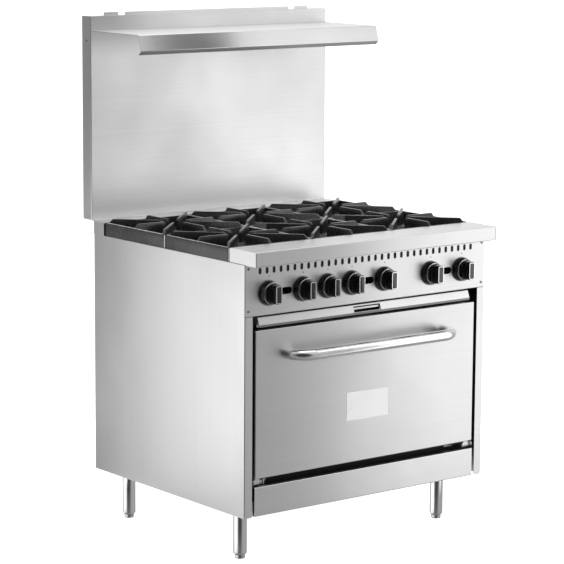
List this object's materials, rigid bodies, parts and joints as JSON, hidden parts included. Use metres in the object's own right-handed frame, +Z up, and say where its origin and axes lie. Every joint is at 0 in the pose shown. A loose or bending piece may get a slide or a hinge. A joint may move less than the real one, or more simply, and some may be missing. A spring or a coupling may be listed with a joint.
{
  "type": "commercial gas range",
  "caption": "Freestanding stainless restaurant gas range with open burners under cast grates, a drop-front oven, a flue riser and a high shelf, on adjustable legs.",
  "frame": {"origin": "on the floor, at the middle of the overall box", "axes": "+X to the right seen from the front, +Y to the back, +Z up"},
  "size_m": [0.9144, 0.902, 1.56],
  "materials": {
    "front_stainless": "brushed along the width",
    "door_stainless": "brushed along the width",
    "side_stainless": "brushed upright",
    "riser_stainless": "brushed along the width",
    "tray_stainless": "brushed along the width",
    "galvanised": "zinc-coated sheet, matt",
    "chassis_steel": "mill finish",
    "frame_dark": "matt black",
    "oven_enamel": "speckled dark porcelain enamel",
    "insulation": "mineral wool",
    "gasket": "woven glass rope",
    "grate_iron": "matt black enamelled iron",
    "burner_iron": "raw cast iron",
    "tubing_aluminium": "drawn tube",
    "pipe_black": "black pipe",
    "valve_brass": "machined brass",
    "knob_plastic": "polished black",
    "handle_chrome": "polished tube",
    "leg_steel": "polished tube",
    "foot_steel": "turned steel",
    "rack_wire": "plated wire",
    "hinge_steel": "plated steel",
    "screw_steel": "steel",
    "badge_plate": "plain light plate"
  },
  "bodies": {
    "range_body": {"back_panel": "galvanised", "backguard_back": "galvanised", "backguard_cap": "riser_stainless", "backguard_front": "riser_stainless", "base_frame": "chassis_steel", "burner_heads": "burner_iron", "burner_tubes": "burner_iron", "control_panel": "front_stainless", "door_gasket": "gasket", "door_springs": "hinge_steel", "drip_tray_rails": "chassis_steel", "firebox_floor": "chassis_steel", "flue_duct": "galvanised", "front_ledge": "front_stainless", "gas_manifold": "pipe_black", "gas_valves": "valve_brass", "high_shelf": "riser_stainless", "hinge_brackets": "hinge_steel", "left_side_panel": "side_stainless", "legs": "leg_steel", "oven_burner": "burner_iron", "oven_floor": "oven_enamel", "oven_front_frame": "frame_dark", "oven_gas_line": "tubing_aluminium", "oven_insulation": "insulation", "oven_liner": "oven_enamel", "oven_rack": "rack_wire", "oven_thermostat": "valve_brass", "panel_screws": "screw_steel", "pilot_burners": "tubing_aluminium", "rack_guides": "rack_wire", "rear_trim": "side_stainless", "right_side_panel": "side_stainless", "riser_brackets": "galvanised", "top_rails": "chassis_steel"},
    "door": {"door_outer_panel": "door_stainless", "door_liner": "oven_enamel", "door_insulation": "insulation", "door_handle": "handle_chrome", "door_badge": "badge_plate", "hinge_knuckles": "hinge_steel"},
    "tray": {"drip_tray": "tray_stainless"},
    "kick": {"kick_panel": "front_stainless"},
    "burner_knob_centre_front_body": {"burner_knob_centre_front": "knob_plastic"},
    "burner_knob_centre_rear_body": {"burner_knob_centre_rear": "knob_plastic"},
    "burner_knob_left_front_body": {"burner_knob_left_front": "knob_plastic"},
    "burner_knob_left_rear_body": {"burner_knob_left_rear": "knob_plastic"},
    "burner_knob_right_front_body": {"burner_knob_right_front": "knob_plastic"},
    "burner_knob_right_rear_body": {"burner_knob_right_rear": "knob_plastic"},
    "oven_knob_body": {"oven_knob": "knob_plastic"},
    "grate_centre_front_body": {"grate_centre_front": "grate_iron"},
    "grate_centre_rear_body": {"grate_centre_rear": "grate_iron"},
    "grate_left_front_body": {"grate_left_front": "grate_iron"},
    "grate_left_rear_body": {"grate_left_rear": "grate_iron"},
    "grate_right_front_body": {"grate_right_front": "grate_iron"},
    "grate_right_rear_body": {"grate_right_rear": "grate_iron"},
    "foot_front_left_body": {"foot_front_left": "foot_steel"},
    "foot_front_right_body": {"foot_front_right": "foot_steel"},
    "foot_rear_left_body": {"foot_rear_left": "foot_steel"},
    "foot_rear_right_body": {"foot_rear_right": "foot_steel"}
  },
  "joints": [
    {"name": "oven_door_hinge", "type": "hinge", "parent": "range_body", "child": "door", "pos_m": [0, -0.363, 0.253], "axis": [1, 0, 0], "range_deg": [0, 90], "deforming": ["door_springs"]},
    {"name": "drip_tray_slide", "type": "slide", "parent": "range_body", "child": "tray", "axis": [0, -1, 0], "range_m": [0, 0.5]},
    {"name": "kick_panel_pull", "type": "slide", "parent": "range_body", "child": "kick", "axis": [0, -1, 0], "range_m": [0, 0.15]},
    {"name": "burner_knob_centre_front_turn", "type": "hinge", "parent": "range_body", "child": "burner_knob_centre_front_body", "pos_m": [-0.066, -0.375, 0.8024], "axis": [0, -1, 0], "range_deg": [0, 180]},
    {"name": "burner_knob_centre_rear_turn", "type": "hinge", "parent": "range_body", "child": "burner_knob_centre_rear_body", "pos_m": [0.058, -0.375, 0.8024], "axis": [0, -1, 0], "range_deg": [0, 180]},
    {"name": "burner_knob_left_front_turn", "type": "hinge", "parent": "range_body", "child": "burner_knob_left_front_body", "pos_m": [-0.371, -0.375, 0.8024], "axis": [0, -1, 0], "range_deg": [0, 180]},
    {"name": "burner_knob_left_rear_turn", "type": "hinge", "parent": "range_body", "child": "burner_knob_left_rear_body", "pos_m": [-0.247, -0.375, 0.8024], "axis": [0, -1, 0], "range_deg": [0, 180]},
    {"name": "burner_knob_right_front_turn", "type": "hinge", "parent": "range_body", "child": "burner_knob_right_front_body", "pos_m": [0.239, -0.375, 0.8024], "axis": [0, -1, 0], "range_deg": [0, 180]},
    {"name": "burner_knob_right_rear_turn", "type": "hinge", "parent": "range_body", "child": "burner_knob_right_rear_body", "pos_m": [0.363, -0.375, 0.8024], "axis": [0, -1, 0], "range_deg": [0, 180]},
    {"name": "oven_knob_turn", "type": "hinge", "parent": "range_body", "child": "oven_knob_body", "pos_m": [-0.1565, -0.375, 0.8024], "axis": [0, -1, 0], "range_deg": [0, 280]},
    {"name": "grate_centre_front_lift", "type": "slide", "parent": "range_body", "child": "grate_centre_front_body", "axis": [0, 0, 1], "range_m": [0, 0.12]},
    {"name": "grate_centre_rear_lift", "type": "slide", "parent": "range_body", "child": "grate_centre_rear_body", "axis": [0, 0, 1], "range_m": [0, 0.12]},
    {"name": "grate_left_front_lift", "type": "slide", "parent": "range_body", "child": "grate_left_front_body", "axis": [0, 0, 1], "range_m": [0, 0.12]},
    {"name": "grate_left_rear_lift", "type": "slide", "parent": "range_body", "child": "grate_left_rear_body", "axis": [0, 0, 1], "range_m": [0, 0.12]},
    {"name": "grate_right_front_lift", "type": "slide", "parent": "range_body", "child": "grate_right_front_body", "axis": [0, 0, 1], "range_m": [0, 0.12]},
    {"name": "grate_right_rear_lift", "type": "slide", "parent": "range_body", "child": "grate_right_rear_body", "axis": [0, 0, 1], "range_m": [0, 0.12]},
    {"name": "foot_front_left_screw", "type": "slide", "parent": "range_body", "child": "foot_front_left_body", "axis": [0, 0, -1], "range_m": [0, 0.025]},
    {"name": "foot_front_right_screw", "type": "slide", "parent": "range_body", "child": "foot_front_right_body", "axis": [0, 0, -1], "range_m": [0, 0.025]},
    {"name": "foot_rear_left_screw", "type": "slide", "parent": "range_body", "child": "foot_rear_left_body", "axis": [0, 0, -1], "range_m": [0, 0.025]},
    {"name": "foot_rear_right_screw", "type": "slide", "parent": "range_body", "child": "foot_rear_right_body", "axis": [0, 0, -1], "range_m": [0, 0.025]}
  ]
}
